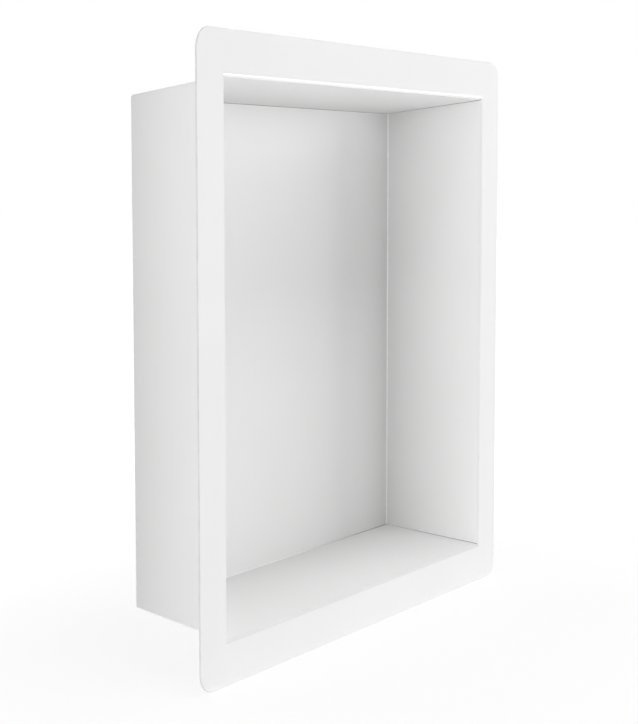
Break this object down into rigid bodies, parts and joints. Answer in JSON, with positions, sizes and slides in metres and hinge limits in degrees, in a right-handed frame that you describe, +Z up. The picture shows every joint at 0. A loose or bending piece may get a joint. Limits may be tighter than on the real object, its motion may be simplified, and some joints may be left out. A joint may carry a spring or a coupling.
{
  "type": "shower niche insert",
  "caption": "Square recessed wall niche, folded and welded from thin white-coated sheet steel, with a flat flange and leaning walls, for holding bottles and soap in a shower wall.",
  "frame": {"origin": "middle of the hole in the wall, in the plane of the wall's face, where the back of the flange seats", "axes": "+X to the right as seen from the room, +Y into the wall, +Z up"},
  "size_m": [0.3556, 0.069, 0.3556],
  "materials": {
    "white_coat": "satin white powder coat with a very fine grain, on thin sheet steel"
  },
  "bodies": {
    "root": {"niche_shell": "white_coat"}
  },
  "joints": []
}
